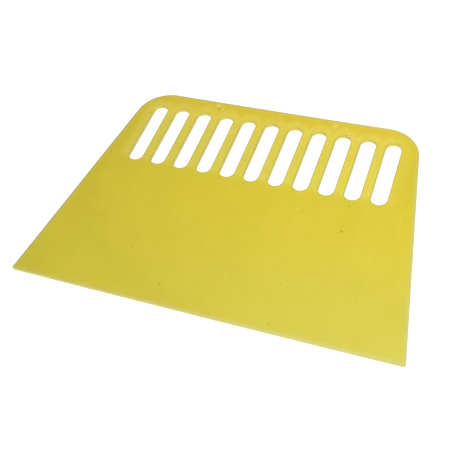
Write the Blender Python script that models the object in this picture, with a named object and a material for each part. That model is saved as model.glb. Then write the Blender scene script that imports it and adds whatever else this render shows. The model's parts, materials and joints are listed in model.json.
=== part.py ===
"""Hand squeegee applicator: one flexible blade, injection moulded in one shot.

Metres, +Z up. The blade lies flat on its underside. X runs along the working edge, Y from the
working edge to the grip, and the origin is on the underside, at the middle of the blade's
length and height.
"""

import math

import bmesh
import bpy
from mathutils import Matrix, Vector

# Outline, seen from above. Lengths run between the sides as if their corners were sharp.
EDGE_LENGTH = 0.150
GRIP_LENGTH = 0.1206
BLADE_HEIGHT = 0.1044
EDGE_CORNER_RADIUS = 0.0008
GRIP_CORNER_RADIUS = 0.0145

# Section. The blade keeps one thickness over the grip, then thins evenly to the working edge.
GRIP_THICKNESS = 0.0016
EDGE_THICKNESS = 0.0011
EDGE_ROUND = 0.0003

# Row of grip slots, which run across the blade and have round ends.
SLOT_WIDTH = 0.0064
SLOT_LENGTH = 0.0334
RIB_WIDTH = 0.00395
RAIL_WIDTH = 0.0076
LEAST_SIDE_WALL = 0.006
TAPER_CLEARANCE = 0.004

# Marks that the mould leaves in the rail between the slots and the top edge.
MARK_SPACING = 0.0524
MARK_DIAMETER = 0.0014
MARK_DEPTH = 0.00015

GRIP_CORNER_STEPS = 14
EDGE_CORNER_STEPS = 4
SLOT_END_STEPS = 10
MARK_STEPS = 16
CUT_OVERRUN = 0.001

BLADE_COLOUR = (0.70, 0.60, 0.062, 1.0)
BLADE_ROUGHNESS = 0.42

WORKING_EDGE_Y = -BLADE_HEIGHT / 2
TOP_EDGE_Y = BLADE_HEIGHT / 2
SLOT_TOP_Y = TOP_EDGE_Y - RAIL_WIDTH
SLOT_BOTTOM_Y = SLOT_TOP_Y - SLOT_LENGTH
TAPER_Y = SLOT_BOTTOM_Y - TAPER_CLEARANCE


def clear_scene():
    for old in list(bpy.data.objects):
        bpy.data.objects.remove(old, do_unlink=True)


def half_width(y):
    """Distance from the middle of the blade to its straight side, at this height."""
    share = (y - WORKING_EDGE_Y) / BLADE_HEIGHT
    return (EDGE_LENGTH + (GRIP_LENGTH - EDGE_LENGTH) * share) / 2


def slot_centres():
    """X of each slot: as many as the blade's width holds between its side walls."""
    room = 2 * (half_width(SLOT_TOP_Y) - LEAST_SIDE_WALL)
    pitch = SLOT_WIDTH + RIB_WIDTH
    count = int((room + RIB_WIDTH) / pitch)
    return [(index - (count - 1) / 2) * pitch for index in range(count)]


def rounded_corner(before, corner, after, radius, steps):
    """Points of the arc that replaces a sharp corner, going anticlockwise."""
    towards_before = (before - corner).normalized()
    towards_after = (after - corner).normalized()
    half_angle = towards_before.angle(towards_after) / 2
    centre_side = (towards_before + towards_after).normalized()
    centre = corner + centre_side * radius / math.sin(half_angle)
    start = corner + towards_before * radius / math.tan(half_angle) - centre
    turn = math.pi - 2 * half_angle
    return [centre + Matrix.Rotation(turn * step / steps, 2) @ start for step in range(steps + 1)]


def blade_outline():
    """The blade's plan: a trapezium with small lower corners and full grip corners."""
    edge, grip = EDGE_LENGTH / 2, GRIP_LENGTH / 2
    corners = [
        (Vector((-edge, WORKING_EDGE_Y)), EDGE_CORNER_RADIUS, EDGE_CORNER_STEPS),
        (Vector((edge, WORKING_EDGE_Y)), EDGE_CORNER_RADIUS, EDGE_CORNER_STEPS),
        (Vector((half_width(TAPER_Y), TAPER_Y)), None, None),
        (Vector((grip, TOP_EDGE_Y)), GRIP_CORNER_RADIUS, GRIP_CORNER_STEPS),
        (Vector((-grip, TOP_EDGE_Y)), GRIP_CORNER_RADIUS, GRIP_CORNER_STEPS),
        (Vector((-half_width(TAPER_Y), TAPER_Y)), None, None),
    ]
    outline = []
    for index, (corner, radius, steps) in enumerate(corners):
        if radius is None:
            outline.append(corner)
            continue
        before = corners[index - 1][0]
        after = corners[(index + 1) % len(corners)][0]
        outline += rounded_corner(before, corner, after, radius, steps)
    return outline


def slot_outline(x):
    radius = SLOT_WIDTH / 2
    outline = []
    ends = ((SLOT_TOP_Y - radius, 0.0), (SLOT_BOTTOM_Y + radius, math.pi))
    for y, first_angle in ends:
        for step in range(SLOT_END_STEPS + 1):
            angle = first_angle + math.pi * step / SLOT_END_STEPS
            outline.append(Vector((x + radius * math.cos(angle), y + radius * math.sin(angle))))
    return outline


def mark_outline(x):
    radius = MARK_DIAMETER / 2
    y = TOP_EDGE_Y - RAIL_WIDTH / 2
    angles = [2 * math.pi * step / MARK_STEPS for step in range(MARK_STEPS)]
    return [Vector((x + radius * math.cos(a), y + radius * math.sin(a))) for a in angles]


def add_prism(mesh, outline, low, high):
    """Adds an upright prism over an anticlockwise outline, and returns its top face."""
    bottom = [mesh.verts.new((point.x, point.y, low)) for point in outline]
    top = [mesh.verts.new((point.x, point.y, high)) for point in outline]
    mesh.faces.new(list(reversed(bottom)))
    for index in range(len(outline)):
        mesh.faces.new((bottom[index - 1], bottom[index], top[index], top[index - 1]))
    return mesh.faces.new(top)


def make_object(name, mesh):
    data = bpy.data.meshes.new(name)
    mesh.to_mesh(data)
    mesh.free()
    made = bpy.data.objects.new(name, data)
    bpy.context.scene.collection.objects.link(made)
    return made


def make_cutter(name, outlines, low, high):
    mesh = bmesh.new()
    for outline in outlines:
        add_prism(mesh, outline, low, high)
    cutter = make_object(name, mesh)
    cutter.hide_render = True
    cutter.display_type = "WIRE"
    return cutter


def cut(body, name, cutter):
    boolean = body.modifiers.new(name, "BOOLEAN")
    boolean.operation = "DIFFERENCE"
    boolean.solver = "EXACT"
    boolean.object = cutter


def blade_body():
    """The solid blade, with its upper face creased where the taper starts."""
    mesh = bmesh.new()
    top = add_prism(mesh, blade_outline(), 0.0, GRIP_THICKNESS)
    crease = [v for v in top.verts if abs(v.co.y - TAPER_Y) < EDGE_ROUND / 10]
    bmesh.utils.face_split(top, crease[0], crease[1])
    fall = (GRIP_THICKNESS - EDGE_THICKNESS) / (TAPER_Y - WORKING_EDGE_Y)
    for vertex in mesh.verts:
        if vertex.co.z > 0.0 and vertex.co.y < TAPER_Y:
            vertex.co.z -= fall * (TAPER_Y - vertex.co.y)
    bmesh.ops.recalc_face_normals(mesh, faces=mesh.faces)
    return make_object("applicator_blade", mesh)


def blade_material():
    material = bpy.data.materials.new("yellow_blade_plastic")
    material.use_nodes = True
    shader = material.node_tree.nodes["Principled BSDF"]
    shader.inputs["Base Color"].default_value = BLADE_COLOUR
    shader.inputs["Roughness"].default_value = BLADE_ROUGHNESS
    shader.inputs["Metallic"].default_value = 0.0
    return material


def make_blade():
    blade = blade_body()
    blade.data.materials.append(blade_material())
    through = (-CUT_OVERRUN, GRIP_THICKNESS + CUT_OVERRUN)
    slots = make_cutter("slot_cutter", [slot_outline(x) for x in slot_centres()], *through)
    cut(blade, "slots", slots)

    rims = blade.modifiers.new("rims", "BEVEL")
    rims.width = EDGE_ROUND
    rims.segments = 2
    rims.limit_method = "ANGLE"
    rims.angle_limit = math.radians(40)

    sunk = (GRIP_THICKNESS - MARK_DEPTH, GRIP_THICKNESS + CUT_OVERRUN)
    outlines = [mark_outline(side * MARK_SPACING / 2) for side in (-1, 1)]
    cut(blade, "mould_marks", make_cutter("mark_cutter", outlines, *sunk))


clear_scene()
make_blade()
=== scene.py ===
"""The looks of a hand squeegee applicator: one thin, bowed, moulded blade on a white table."""

import json
import math

import bmesh
import bpy
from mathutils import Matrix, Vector


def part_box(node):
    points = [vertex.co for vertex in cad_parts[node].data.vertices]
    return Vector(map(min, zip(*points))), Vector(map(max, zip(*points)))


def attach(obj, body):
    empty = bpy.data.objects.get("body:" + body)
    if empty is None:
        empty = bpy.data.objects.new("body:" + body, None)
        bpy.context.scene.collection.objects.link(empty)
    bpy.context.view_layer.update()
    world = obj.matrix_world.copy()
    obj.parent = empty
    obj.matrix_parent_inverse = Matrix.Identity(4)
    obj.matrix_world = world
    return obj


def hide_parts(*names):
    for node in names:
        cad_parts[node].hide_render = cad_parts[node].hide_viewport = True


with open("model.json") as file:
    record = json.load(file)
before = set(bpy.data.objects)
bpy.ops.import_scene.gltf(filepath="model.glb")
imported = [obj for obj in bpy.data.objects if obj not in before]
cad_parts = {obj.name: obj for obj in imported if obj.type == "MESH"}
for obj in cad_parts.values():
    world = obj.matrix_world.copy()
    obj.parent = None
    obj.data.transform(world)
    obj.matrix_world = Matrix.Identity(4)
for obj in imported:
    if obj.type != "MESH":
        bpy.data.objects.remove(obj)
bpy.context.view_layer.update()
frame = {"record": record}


# The blade. One sheet of yellow polypropylene, moulded in one shot: a trapezium with full corners
# at the grip, near-square corners at the working edge, and a row of round-ended slots that
# lighten the grip and let the fingers hold it. Nothing is fixed to it.

low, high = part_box("applicator_blade")
GRIP_THICKNESS = high.z - low.z
EDGE_THICKNESS = 0.0011
BLADE_HEIGHT = high.y - low.y
EDGE_LENGTH = 0.150
GRIP_LENGTH = 0.1206
EDGE_CORNER_RADIUS = 0.0008
GRIP_CORNER_RADIUS = 0.0145
CORNER_FACETS = 24
RIM_RADIUS = 0.0005
RIM_FACETS = 5
RIM_LEAST_TURN = math.radians(40)

slot_boxes = [opening["box_m"] for opening in frame["record"]["physics"]["openings"]]
SLOT_PITCH = slot_boxes[1][0][0] - slot_boxes[0][0][0]
SLOT_CENTRE_Y = (slot_boxes[0][0][1] + slot_boxes[0][1][1]) / 2
SLOT_WIDTH = 0.0064
SLOT_LENGTH = 0.0334
SLOT_END_FACETS = 10

MARK_SPACING = 0.0524
MARK_Y = (high.y + SLOT_CENTRE_Y + SLOT_LENGTH / 2) / 2
MARK_DIAMETER = 0.0014
MARK_DEPTH = 0.00015

RAIL_YELLOW = (0.81, 0.64, 0.031, 1.0)
GRIP_YELLOW = (0.728, 0.608, 0.031, 1.0)
# Painted light: the working edge's paler yellow stands for the white table's glow through thin
# plastic.
EDGE_BACKLIT_YELLOW = (0.648, 0.588, 0.055, 1.0)
DEEP_YELLOW = (0.55, 0.44, 0.008, 1.0)
# Pale yellow of wear, also used for the painted highlight by the pins' dishes.
WEAR_AND_HIGHLIGHT_YELLOW = (0.92, 0.87, 0.22, 1.0)
SCUFFED_RIM = (0.60, 0.60, 0.27, 1.0)
FILM_OLIVE = (0.42, 0.385, 0.014, 1.0)
# Painted shade: the olive that darkens the walls and rims of the slots and of the outline.
SHADE_OLIVE = (0.38, 0.345, 0.13, 1.0)
# Brown of dirt and specks, also used for painted shade in the left pin's dish.
DIRT_AND_SHADE_BROWN = (0.30, 0.21, 0.015, 1.0)

# How far each mark takes the plastic's colour towards its own, at most.
RAIL_STREAK_SHARE = 0.15
SCRATCH_SHARE = 0.13
SKID_SHARE = 0.14
SKID_DIRT_SHARE = 0.1
FILM_SHARE = 0.2
SPECK_SHARE = 0.6
PIN_HIGHLIGHT_SHARE = 0.5

# Relief of the face, in thousandths of a millimetre.
GRAIN_HEIGHT = 10
WAVE_HEIGHT = 250
SCRATCH_DEPTH = 5
SPECK_HEIGHT = 12

# Marks on the upper face, in millimetres from the middle of the blade: specks, smudges and pale
# spots of painted highlight by the pins' dishes (x, y, radius), and skids (x, y, length, angle to
# the X axis).
SPECKS = (
    (42, 8, 0.45), (42, -4.4, 0.5), (25, 1.3, 0.3), (-33, -30.5, 0.35), (-15.7, -44, 0.34),
    (-46, 4.2, 0.3), (28, -49, 0.3), (-33, 2.5, 0.25), (53, -29, 0.25), (-1, -21, 0.2),
)
SMALL_SPECK_SPACING = 9
SKIDS = (
    (25.3, -21.7, 3, 60), (28.3, -31.1, 6, -72), (54.8, -34.6, 4, -65), (41.5, -2.4, 2, 70),
    (-33, -27.5, 4, 95), (23.9, 2.5, 2, 20), (-52, -36, 5, 15), (6, -38, 4, 100),
)
SMUDGES = ((62.5, 15.4, 3), (63.6, 6.6, 3), (-64.5, -3, 5), (53, -27, 6), (-62, 16, 4))
# Pale spots by the pins' dishes: painted highlight where their walls catch the lamp.
PIN_HIGHLIGHTS = ((-27.2, 49.9, 1.1), (-24.9, 48.4, 0.7), (25.9, 48.6, 1.1), (30.6, 48.0, 0.5))
WIPE_CENTRE = (-5, 15)
WIPE_RADIUS = 63.5


def node(tree, kind, inputs=(), **settings):
    """Adds a node to a tree; inputs pairs a live socket's name or number with a value or a link."""
    made = tree.nodes.new(kind)
    for name, value in settings.items():
        setattr(made, name, value)
    live = [socket for socket in made.inputs if socket.enabled]
    names = [socket.name for socket in live]
    for socket, value in inputs:
        target = live[socket] if isinstance(socket, int) else live[names.index(socket)]
        if isinstance(value, bpy.types.NodeSocket):
            tree.links.new(value, target)
        else:
            target.default_value = value
    return made


def blade_blank_tree():
    """Geometry nodes of the flat blade as it leaves the mould, before its rims are eased."""
    tree = bpy.data.node_groups.new("blade_blank", "GeometryNodeTree")
    tree.interface.new_socket(name="Geometry", in_out="OUTPUT", socket_type="NodeSocketGeometry")
    lengths = (
        "Edge length", "Grip length", "Height", "Thickness",
        "Edge corner radius", "Grip corner radius",
        "Slot width", "Slot length", "Slot pitch", "Slot centre",
        "Mark spacing", "Mark centre", "Mark diameter", "Mark depth",
    )
    for name in lengths:
        tree.interface.new_socket(name=name, in_out="INPUT", socket_type="NodeSocketFloat")
    tree.interface.new_socket(name="Slot count", in_out="INPUT", socket_type="NodeSocketInt")
    tree.interface.new_socket(name="Plastic", in_out="INPUT", socket_type="NodeSocketMaterial")
    given = tree.nodes.new("NodeGroupInput").outputs

    def maths(operation, *values):
        return node(tree, "ShaderNodeMath", enumerate(values), operation=operation).outputs[0]

    def point(x=0.0, y=0.0, z=0.0):
        pairs = (("X", x), ("Y", y), ("Z", z))
        return node(tree, "ShaderNodeCombineXYZ", pairs).outputs[0]

    def join(*parts):
        joined = tree.nodes.new("GeometryNodeJoinGeometry")
        for part in parts:
            tree.links.new(part, joined.inputs[0])
        return joined.outputs[0]

    # The outline, with one radius at the grip's corners and another at the working edge's.
    trapezium = node(
        tree, "GeometryNodeCurvePrimitiveQuadrilateral",
        (
            ("Bottom Width", given["Edge length"]), ("Top Width", given["Grip length"]),
            ("Height", given["Height"]), ("Offset", 0.0),
        ),
        mode="TRAPEZOID",
    ).outputs[0]
    position = tree.nodes.new("GeometryNodeInputPosition").outputs[0]
    along_y = node(tree, "ShaderNodeSeparateXYZ", ((0, position),)).outputs["Y"]
    at_grip = node(tree, "FunctionNodeCompare", (("A", along_y), ("B", 0.0))).outputs[0]
    corner = node(
        tree, "GeometryNodeSwitch",
        (
            ("Switch", at_grip), ("False", given["Edge corner radius"]),
            ("True", given["Grip corner radius"]),
        ),
        input_type="FLOAT",
    ).outputs[0]
    outline = node(
        tree, "GeometryNodeFilletCurve",
        (("Curve", trapezium), ("Count", CORNER_FACETS), ("Radius", corner)),
        mode="POLY",
    ).outputs[0]

    # The row of slots: one round-ended slot, repeated at an even pitch. Its ends' radius is a
    # hair under half its width, so that the two corners of an end stay apart.
    oblong = node(
        tree, "GeometryNodeCurvePrimitiveQuadrilateral",
        (("Width", given["Slot width"]), ("Height", given["Slot length"])),
        mode="RECTANGLE",
    ).outputs[0]
    end_radius = maths("MULTIPLY", given["Slot width"], 0.499)
    slot = node(
        tree, "GeometryNodeFilletCurve",
        (("Curve", oblong), ("Count", SLOT_END_FACETS), ("Radius", end_radius)),
        mode="POLY",
    ).outputs[0]
    gaps = maths("SUBTRACT", given["Slot count"], 1.0)
    first_slot = maths("MULTIPLY", maths("MULTIPLY", gaps, given["Slot pitch"]), -0.5)
    slot_places = node(
        tree, "GeometryNodeMeshLine",
        (
            ("Count", given["Slot count"]),
            ("Start Location", point(x=first_slot, y=given["Slot centre"])),
            ("Offset", point(x=given["Slot pitch"])),
        ),
    ).outputs[0]
    slot_row = node(
        tree, "GeometryNodeInstanceOnPoints", (("Points", slot_places), ("Instance", slot))
    ).outputs[0]
    slots = node(tree, "GeometryNodeRealizeInstances", (("Geometry", slot_row),)).outputs[0]

    # The slab: the plan filled between outline and slots, and raised to its thickness.
    plan = node(
        tree, "GeometryNodeFillCurve", (("Curve", join(outline, slots)),), mode="NGONS"
    ).outputs[0]
    raised = node(
        tree, "GeometryNodeExtrudeMesh",
        (("Mesh", plan), ("Offset", point(z=given["Thickness"])), ("Individual", False)),
    ).outputs[0]
    underside = node(tree, "GeometryNodeFlipFaces", (("Mesh", plan),)).outputs[0]
    slab = node(
        tree, "GeometryNodeMergeByDistance",
        (("Geometry", join(raised, underside)), ("Distance", 1e-6)),
    ).outputs[0]

    # The two dished marks that the mould's pins leave in the rail above the slots. The ball
    # that cuts a dish of this width and depth has radius (half width squared / depth + depth) / 2.
    half = maths("MULTIPLY", given["Mark diameter"], 0.5)
    over = maths("DIVIDE", maths("MULTIPLY", half, half), given["Mark depth"])
    ball_radius = maths("MULTIPLY", maths("ADD", over, given["Mark depth"]), 0.5)
    ball = node(
        tree, "GeometryNodeMeshUVSphere",
        (("Segments", 32), ("Rings", 80), ("Radius", ball_radius)),
    ).outputs[0]
    surface = maths("SUBTRACT", given["Thickness"], given["Mark depth"])
    mark_places = node(
        tree, "GeometryNodeMeshLine",
        (
            ("Count", 2),
            ("Start Location", point(
                x=maths("MULTIPLY", given["Mark spacing"], -0.5),
                y=given["Mark centre"],
                z=maths("ADD", surface, ball_radius),
            )),
            ("Offset", point(x=given["Mark spacing"])),
        ),
    ).outputs[0]
    mark_pair = node(
        tree, "GeometryNodeInstanceOnPoints", (("Points", mark_places), ("Instance", ball))
    ).outputs[0]
    marks = node(tree, "GeometryNodeRealizeInstances", (("Geometry", mark_pair),)).outputs[0]
    marked = node(
        tree, "GeometryNodeMeshBoolean", (("Mesh 1", slab), ("Mesh 2", marks)),
        operation="DIFFERENCE", solver="EXACT",
    ).outputs[0]

    whole = node(tree, "GeometryNodeRealizeInstances", (("Geometry", marked),)).outputs[0]
    coated = node(
        tree, "GeometryNodeSetMaterial", (("Geometry", whole), ("Material", given["Plastic"]))
    ).outputs[0]
    tree.links.new(coated, tree.nodes.new("NodeGroupOutput").inputs[0])
    return tree


def blade_plastic():
    """Satin yellow plastic, a little translucent, with its mould's grain, the marks of use, and
    light and shade painted into its colour.
    """
    material = bpy.data.materials.new("blade_plastic")
    material.use_nodes = True
    tree = material.node_tree
    shader = tree.nodes["Principled BSDF"]
    shader.inputs["IOR"].default_value = 1.49
    shader.inputs["Subsurface Weight"].default_value = 0.35
    shader.inputs["Subsurface Radius"].default_value = (1.0, 0.75, 0.15)
    shader.inputs["Subsurface Scale"].default_value = 0.0015

    def maths(operation, *values):
        return node(tree, "ShaderNodeMath", enumerate(values), operation=operation).outputs[0]

    def fade(value, full, none):
        """1 where the value is at full, 0 where it is at none, and smooth between them."""
        pairs = (("Value", value), ("From Min", none), ("From Max", full))
        return node(tree, "ShaderNodeMapRange", pairs, interpolation_type="SMOOTHSTEP").outputs[0]

    def spread(share, least, most):
        """Takes a share from 0 to 1 to a value from least to most."""
        pairs = (("Value", share), ("To Min", least), ("To Max", most))
        return node(tree, "ShaderNodeMapRange", pairs).outputs[0]

    def product(first, *others):
        for other in others:
            first = maths("MULTIPLY", first, other)
        return first

    def hypotenuse(first, second):
        corner = node(tree, "ShaderNodeCombineXYZ", (("X", first), ("Y", second))).outputs[0]
        length = node(tree, "ShaderNodeVectorMath", ((0, corner),), operation="LENGTH")
        return length.outputs["Value"]

    def noise(size, detail=2.0, rough=0.5, along_y=1.0, turn=0.0):
        """Soft random shares; the cells are size millimetres wide and along_y times as long."""
        pairs = (("Vector", millimetres), ("Rotation", (0.0, 0.0, math.radians(turn))))
        turned = node(tree, "ShaderNodeMapping", pairs).outputs[0]
        pairs = (("Vector", turned), ("Scale", (1.0, 1.0 / along_y, 1.0)))
        stretched = node(tree, "ShaderNodeMapping", pairs).outputs[0]
        pairs = (
            ("Vector", stretched), ("Scale", 1.0 / size), ("Detail", detail), ("Roughness", rough),
        )
        return node(tree, "ShaderNodeTexNoise", pairs).outputs[0]

    def from_stroke(middle_x, middle_y, length=0.0, turn=0.0):
        """Distance from a straight stroke on the face, or from a point if it has no length."""
        pairs = (
            ("Vector", millimetres), ("Location", (middle_x, middle_y, 0.0)),
            ("Rotation", (0.0, 0.0, math.radians(turn))),
        )
        own = node(tree, "ShaderNodeMapping", pairs, vector_type="TEXTURE").outputs[0]
        along, aside, _ = node(tree, "ShaderNodeSeparateXYZ", ((0, own),)).outputs
        past_end = maths("MAXIMUM", maths("SUBTRACT", maths("ABSOLUTE", along), length / 2), 0)
        return hypotenuse(past_end, aside)

    def tint(colour, share, other):
        pairs = (("Factor", share), ("A", colour), ("B", other))
        return node(tree, "ShaderNodeMix", pairs, data_type="RGBA").outputs[2]

    # From here on every length is in millimetres, and x and y run from the middle of the blade.
    place = tree.nodes.new("ShaderNodeTexCoord").outputs
    millimetres = node(
        tree, "ShaderNodeVectorMath", (("Vector", place["Object"]), ("Scale", 1000.0)),
        operation="SCALE",
    ).outputs[0]
    x, y, _ = node(tree, "ShaderNodeSeparateXYZ", ((0, millimetres),)).outputs
    facing_up = node(tree, "ShaderNodeSeparateXYZ", ((0, place["Normal"]),)).outputs["Z"]
    upper = fade(facing_up, 0.5, 0.1)

    # How far each point lies from the rim of the nearest slot.
    pitch, slot_half_width = 1000 * SLOT_PITCH, 500 * SLOT_WIDTH
    slot_middle, slot_half_length = 1000 * SLOT_CENTRE_Y, 500 * SLOT_LENGTH
    slot_top, slot_bottom = slot_middle + slot_half_length, slot_middle - slot_half_length
    first_x = 500 * (slot_boxes[0][0][0] + slot_boxes[0][1][0])
    count = maths("ROUND", maths("DIVIDE", maths("SUBTRACT", x, first_x), pitch))
    nearest = maths("MINIMUM", maths("MAXIMUM", count, 0), len(slot_boxes) - 1)
    slot_x = maths("MULTIPLY_ADD", nearest, pitch, first_x)
    from_middle = maths("ABSOLUTE", maths("SUBTRACT", y, slot_middle))
    straight = slot_half_length - slot_half_width
    past_straight = maths("MAXIMUM", maths("SUBTRACT", from_middle, straight), 0)
    from_line = hypotenuse(maths("SUBTRACT", x, slot_x), past_straight)
    from_slot = maths("SUBTRACT", from_line, slot_half_width)

    # How far it lies from the working edge, and from the rest of the outline.
    slant = math.atan((EDGE_LENGTH - GRIP_LENGTH) / 2 / BLADE_HEIGHT)
    from_edge = maths("SUBTRACT", y, 1000 * low.y)
    half_here = maths("MULTIPLY_ADD", from_edge, -math.tan(slant), 500 * EDGE_LENGTH)
    room_beside = maths("SUBTRACT", half_here, maths("ABSOLUTE", x))
    from_side = maths("MULTIPLY", room_beside, math.cos(slant))
    from_top = maths("SUBTRACT", 1000 * high.y, y)
    radius = 1000 * GRIP_CORNER_RADIUS
    into_side = maths("MAXIMUM", maths("SUBTRACT", radius, from_side), 0)
    into_top = maths("MAXIMUM", maths("SUBTRACT", radius, from_top), 0)
    past_side = maths("MAXIMUM", maths("MULTIPLY_ADD", into_side, -math.sin(slant), into_top), 0)
    from_outline = maths("SUBTRACT", radius, hypotenuse(into_side, past_side))

    # Colour: warmest at the rail, and paler towards the working edge, most of all at its right end:
    # painted light, the white table's glow through the thinning plastic and a painted sheen towards
    # the right. Over that, slow drifts in the pigment and faint streaks where the plastic flowed.
    # Painted light: paler towards the working edge and the right end, for glow through the plastic
    # and sheen.
    backlight_and_sheen = product(fade(y, 1000 * low.y, 8), spread(fade(x, 60, -70), 0.5, 1))
    colour = tint(GRIP_YELLOW, backlight_and_sheen, EDGE_BACKLIT_YELLOW)
    colour = tint(colour, fade(y, 1000 * MARK_Y, slot_middle), RAIL_YELLOW)
    slow_drift = spread(noise(28, 3), 0, 0.2)
    clouds = spread(fade(noise(8, 4, 0.6, turn=50), 0.64, 0.42), 0, 0.07)
    flow_streaks = spread(fade(noise(3.5, 3, 0.6, along_y=9), 0.62, 0.42), 0, 0.05)
    rail_noise = fade(noise(0.8, 3, 0.6, along_y=16, turn=83), 0.66, 0.46)
    rail_streaks = product(fade(from_top, 5, 8), rail_noise, RAIL_STREAK_SHARE)
    for share in (slow_drift, clouds, flow_streaks, rail_streaks):
        colour = tint(colour, share, DEEP_YELLOW)

    # Wear: fingers rub the ribs and the rail pale, less so beyond the last slot, and knocks
    # scuff the rim grey all round.
    patches = noise(2.2, 4, 0.6)
    in_grip = fade(y, slot_bottom + 4, slot_bottom - 1)
    less_at_right = spread(fade(x, 48, 58), 0.3, 1)
    handled = product(fade(from_slot, 1.2, 5.5), in_grip, less_at_right)
    colour = tint(colour, product(handled, spread(patches, 0.03, 0.47)), WEAR_AND_HIGHLIGHT_YELLOW)
    from_rim = maths("MINIMUM", from_outline, from_edge)
    scuffed_rim = product(fade(from_rim, 0.2, 1.7), spread(patches, 0.25, 0.75))
    colour = tint(colour, scuffed_rim, SCUFFED_RIM)

    # Hairline scratches from dragging and stacking: most run up and down the blade, some across.
    scuffed = fade(noise(16, 2, 0.5, turn=20), 0.6, 0.4)
    dragged = fade(noise(0.34, 1, 0.5, along_y=60, turn=4), 0.74, 0.67)
    crossed = fade(noise(0.3, 1, 0.5, along_y=45, turn=67), 0.75, 0.69)
    scratches = product(scuffed, maths("MAXIMUM", dragged, crossed))
    colour = tint(colour, product(scratches, SCRATCH_SHARE), WEAR_AND_HIGHLIGHT_YELLOW)

    # Skids, where a corner of something has dragged over the face: whitened, with dirt beside.
    ragged = spread(noise(0.7, 3, 0.6), -0.4, 0.4)
    skids, dirt_beside = 0, 0
    for skid in SKIDS:
        off_skid = maths("ADD", from_stroke(*skid), ragged)
        skids = maths("MAXIMUM", skids, fade(off_skid, 0.05, 0.45))
        dirt_beside = maths("MAXIMUM", dirt_beside, fade(off_skid, 0.4, 0.85))
    broken = fade(noise(1.1, 3, 0.6, turn=12), 0.58, 0.44)
    skids = product(skids, upper, spread(broken, 1.0, 0.2))
    skid_dirt = product(dirt_beside, upper, broken, SKID_DIRT_SHARE)
    colour = tint(colour, skid_dirt, DIRT_AND_SHADE_BROWN)
    colour = tint(colour, product(skids, SKID_SHARE), WEAR_AND_HIGHLIGHT_YELLOW)

    # Film: a wiped arc across the lower left, and thumb smudges near the sides.
    off_arc = maths("ABSOLUTE", maths("SUBTRACT", from_stroke(*WIPE_CENTRE), WIPE_RADIUS))
    film = product(fade(off_arc, 0, 9), fade(x, -15, 12), fade(y, 2, 10))
    for smudge_x, smudge_y, reach in SMUDGES:
        off_smudge = maths("MULTIPLY_ADD", ragged, reach, from_stroke(smudge_x, smudge_y))
        film = maths("MAXIMUM", film, fade(off_smudge, 0, reach))
    film = product(film, noise(5, 4, 0.65, turn=35), upper)
    colour = tint(colour, product(film, FILM_SHARE), FILM_OLIVE)

    # Specks stuck in the face: the few large ones at listed places, and small ones at random, at
    # most one to a cell, many of them too fine to show.
    specks = 0
    for speck_x, speck_y, reach in SPECKS:
        off_speck = maths("ADD", from_stroke(speck_x, speck_y), ragged)
        specks = maths("MAXIMUM", specks, fade(off_speck, reach - 0.25, reach + 0.15))
    cells = node(
        tree, "ShaderNodeTexVoronoi",
        (("Vector", millimetres), ("Scale", 1 / SMALL_SPECK_SPACING)),
        voronoi_dimensions="2D",
    ).outputs
    fineness = node(tree, "ShaderNodeSeparateColor", ((0, cells["Color"]),)).outputs[0]
    too_fine = spread(fineness, -0.12, 0.2)
    off_small = maths("MULTIPLY_ADD", cells["Distance"], SMALL_SPECK_SPACING, too_fine)
    specks = product(maths("MAXIMUM", specks, fade(off_small, 0.0, 0.12)), upper)
    colour = tint(colour, product(specks, SPECK_SHARE), DIRT_AND_SHADE_BROWN)

    # Painted shade: an olive darkening on the walls and rims of the slots, which lie in shade,
    # lighter at their upper ends, which face the lamp; and a thinner one on the outline's rims,
    # heavier towards the left, away from the lamp.
    less_shade_at_lit_ends = spread(fade(y, slot_top - 1, slot_top - 5), 1.0, 0.65)
    slot_shade = product(fade(from_slot, 0.05, 0.7), spread(patches, 0.3, 0.85), less_shade_at_lit_ends)
    shade_more_at_left = spread(fade(x, -60, 60), 0.4, 1.1)
    rim_shade = product(fade(from_outline, 0.3, 1.1), spread(patches, 0.1, 0.5), shade_more_at_left)
    painted_shade = maths("MAXIMUM", slot_shade, rim_shade)
    colour = tint(colour, painted_shade, SHADE_OLIVE)

    # The mould's pins leave two pits, darkest in the left one, partly dirt and partly painted shade
    # in its dish; the ragged pale spots by them are painted highlight where the dishes' walls catch
    # the lamp.
    pin_highlight = 0
    for spot_x, spot_y, reach in PIN_HIGHLIGHTS:
        off_spot = maths("MULTIPLY_ADD", ragged, 1.5, from_stroke(spot_x, spot_y))
        pin_highlight = maths("MAXIMUM", pin_highlight, fade(off_spot, reach - 0.5, reach + 0.5))
    colour = tint(colour, product(pin_highlight, upper, PIN_HIGHLIGHT_SHARE), WEAR_AND_HIGHLIGHT_YELLOW)
    off_mark = maths("SUBTRACT", maths("ABSOLUTE", x), 500 * MARK_SPACING)
    from_mark = hypotenuse(off_mark, maths("SUBTRACT", y, 1000 * MARK_Y))
    left_one = spread(fade(x, -5, 5), 0.1, 0.45)
    pit_dirt_and_shade = product(fade(from_mark, 0.35, 0.95), upper, left_one)
    colour = tint(colour, pit_dirt_and_shade, DIRT_AND_SHADE_BROWN)
    tree.links.new(colour, shader.inputs["Base Color"])

    # Gloss: satin, polished where fingers rub it, and dull in film, scratches, skids and where
    # shade is painted on the walls and rims.
    scored = maths("MAXIMUM", scratches, skids)
    dull = spread(noise(18, 4, 0.6), 0.34, 0.54)
    for wear, change in ((handled, -0.05), (film, 0.12), (scored, 0.14), (painted_shade, 0.2)):
        dull = maths("MULTIPLY_ADD", wear, change, dull)
    tree.links.new(dull, shader.inputs["Roughness"])

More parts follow.
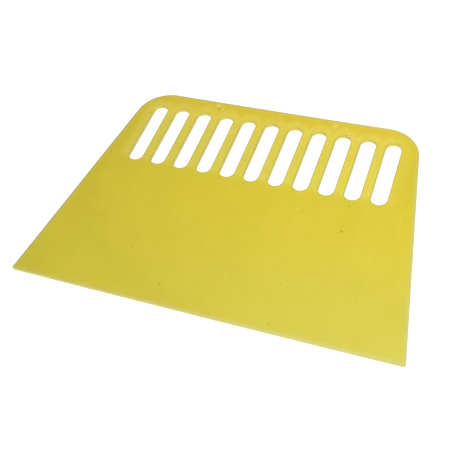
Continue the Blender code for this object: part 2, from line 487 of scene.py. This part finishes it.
    # Relief: the mould's fine grain, the slow waves of a sheet that has cooled unevenly, the
    # scratches cut into it and the specks that stand proud.
    relief = product(noise(0.22, 3, 0.6), GRAIN_HEIGHT)
    waves = noise(24, 1)
    for form, height in ((waves, WAVE_HEIGHT), (scored, -SCRATCH_DEPTH), (specks, SPECK_HEIGHT)):
        relief = maths("MULTIPLY_ADD", form, height, relief)
    pairs = (("Strength", 1.0), ("Distance", 1e-6), ("Height", relief))
    bump = node(tree, "ShaderNodeBump", pairs)
    tree.links.new(bump.outputs[0], shader.inputs["Normal"])
    return material


plastic = blade_plastic()
blank = bpy.data.objects.new("blade_blank", bpy.data.meshes.new("blade_blank"))
bpy.context.scene.collection.objects.link(blank)
shape = blank.modifiers.new("shape", "NODES")
shape.node_group = blade_blank_tree()
blank_sizes = {
    "Edge length": EDGE_LENGTH,
    "Grip length": GRIP_LENGTH,
    "Height": BLADE_HEIGHT,
    "Thickness": GRIP_THICKNESS,
    "Edge corner radius": EDGE_CORNER_RADIUS,
    "Grip corner radius": GRIP_CORNER_RADIUS,
    "Slot width": SLOT_WIDTH,
    "Slot length": SLOT_LENGTH,
    "Slot pitch": SLOT_PITCH,
    "Slot centre": SLOT_CENTRE_Y,
    "Slot count": len(slot_boxes),
    "Mark spacing": MARK_SPACING,
    "Mark centre": MARK_Y,
    "Mark diameter": MARK_DIAMETER,
    "Mark depth": MARK_DEPTH,
    "Plastic": plastic,
}
for socket in shape.node_group.interface.items_tree:
    if socket.name in blank_sizes:
        shape[socket.identifier] = blank_sizes[socket.name]
rims = blank.modifiers.new("rims", "BEVEL")
rims.width = RIM_RADIUS
rims.segments = RIM_FACETS
rims.limit_method = "ANGLE"
rims.angle_limit = RIM_LEAST_TURN

evaluated = blank.evaluated_get(bpy.context.evaluated_depsgraph_get())
blade_mesh = bpy.data.meshes.new_from_object(evaluated)
bpy.data.objects.remove(blank)

# The faces are cut on a fine grid, so that the sheet can bow smoothly, and along the line where
# it starts to thin.
GRID = 0.003
TAPER_CLEARANCE = 0.004
taper_y = SLOT_CENTRE_Y - SLOT_LENGTH / 2 - TAPER_CLEARANCE
columns, rows = int(high.x / GRID), int(high.y / GRID)
cuts = [(Vector((i * GRID, 0, 0)), Vector((1, 0, 0))) for i in range(-columns, columns + 1)]
cuts += [(Vector((0, i * GRID, 0)), Vector((0, 1, 0))) for i in range(-rows, rows + 1)]
cuts += [(Vector((0, taper_y, 0)), Vector((0, 1, 0)))]
sheet = bmesh.new()
sheet.from_mesh(blade_mesh)
for place, normal in cuts:
    everything = sheet.verts[:] + sheet.edges[:] + sheet.faces[:]
    bmesh.ops.bisect_plane(sheet, geom=everything, dist=1e-7, plane_co=place, plane_no=normal)

# The section: even over the grip, then thinning to the working edge. The whole sheet has taken
# a slight bow and twist, as thin mouldings do, which lifts its ends and two of its corners.
END_LIFT = 0.0005
EDGE_LIFT = 0.00026
TWIST_LIFT = 0.0006
for vertex in sheet.verts:
    x, y = vertex.co.x, vertex.co.y
    down = min(1.0, max(0.0, (taper_y - y) / (taper_y - low.y)))
    vertex.co.z *= 1.0 - down * (1.0 - EDGE_THICKNESS / GRIP_THICKNESS)
    across, up = 2 * x / EDGE_LENGTH, 2 * y / BLADE_HEIGHT
    vertex.co.z += END_LIFT * across**2 + EDGE_LIFT * up**2 - TWIST_LIFT * across * up

sheet.to_mesh(blade_mesh)
sheet.free()
blade = bpy.data.objects.new("moulded_blade", blade_mesh)
bpy.context.scene.collection.objects.link(blade)
blade_mesh.shade_smooth()
flat_normals = blade.modifiers.new("flat_normals", "WEIGHTED_NORMAL")
flat_normals.keep_sharp = True
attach(blade, "root")
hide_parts("applicator_blade")


# The table: a wide sheet of white opal that glows a little, so that the blade casts almost no
# shadow on it. It lies a hair below the blade, so that the two never share a surface.
TABLE_SIZE = 6.0
TABLE_DROP = 0.00005
TABLE_GREY = 0.2
TABLE_GLOW = 0.9
bpy.ops.mesh.primitive_plane_add(size=TABLE_SIZE, location=(0, 0, -TABLE_DROP))
table = bpy.context.object
table.name = "white_table"
opal = bpy.data.materials.new("white_opal")
opal.use_nodes = True
shader = opal.node_tree.nodes["Principled BSDF"]
shader.inputs["Base Color"].default_value = (TABLE_GREY, TABLE_GREY, TABLE_GREY, 1.0)
shader.inputs["Roughness"].default_value = 0.8
shader.inputs["Emission Color"].default_value = (1.0, 1.0, 1.0, 1.0)
shader.inputs["Emission Strength"].default_value = TABLE_GLOW
table.data.materials.append(opal)


# The room: white walls, a little brighter in front of the blade than behind it, under a dimmer
# ceiling that takes over from about 12 to 30 degrees above the horizon.
BACK_WALL = 1.0
FRONT_WALL = 1.3
CEILING = 0.26
room = bpy.data.worlds.new("white_room")
room.use_nodes = True
air = room.node_tree
backdrop = air.nodes["Background"]
backdrop.inputs["Color"].default_value = (1.0, 1.0, 1.0, 1.0)
looking = air.nodes.new("ShaderNodeTexCoord").outputs["Generated"]
_, forwards, upwards = node(air, "ShaderNodeSeparateXYZ", ((0, looking),)).outputs
pairs = (
    ("Value", forwards), ("From Min", -0.1), ("From Max", -0.8),
    ("To Min", BACK_WALL), ("To Max", FRONT_WALL),
)
walls = node(air, "ShaderNodeMapRange", pairs).outputs[0]
pairs = (
    ("Value", upwards), ("From Min", 0.2), ("From Max", 0.5),
    ("To Min", walls), ("To Max", CEILING),
)
strength = node(air, "ShaderNodeMapRange", pairs).outputs[0]
air.links.new(strength, backdrop.inputs["Strength"])
bpy.context.scene.world = room
bpy.context.scene.view_settings.view_transform = "Standard"


# The lamp: one soft square panel over the right half of the blade, turned to its middle.
LAMP_SIZE = 0.2
LAMP_POWER = 0.5
LAMP_PLACE = (0.078, -0.045, 0.23)
lamp_data = bpy.data.lights.new("soft_lamp", "AREA")
lamp_data.shape = "SQUARE"
lamp_data.size = LAMP_SIZE
lamp_data.energy = LAMP_POWER
lamp = bpy.data.objects.new("soft_lamp", lamp_data)
lamp.location = LAMP_PLACE
lamp.rotation_euler = (-lamp.location).to_track_quat("-Z", "Y").to_euler()
bpy.context.scene.collection.objects.link(lamp)


# The camera looks down on the blade from in front of its working edge, a little to the right.
CAMERA_LENS = 56.4
CAMERA_PLACE = (0.0816, -0.1610, 0.2112)
CAMERA_TURNS = (38.53, 7.30, 20.12)
camera_data = bpy.data.cameras.new("camera")
camera_data.lens = CAMERA_LENS
camera_data.sensor_width = 36.0
camera_data.clip_start = 0.01
camera = bpy.data.objects.new("camera", camera_data)
camera.location = CAMERA_PLACE
camera.rotation_euler = [math.radians(turn) for turn in CAMERA_TURNS]
bpy.context.scene.collection.objects.link(camera)
bpy.context.scene.camera = camera
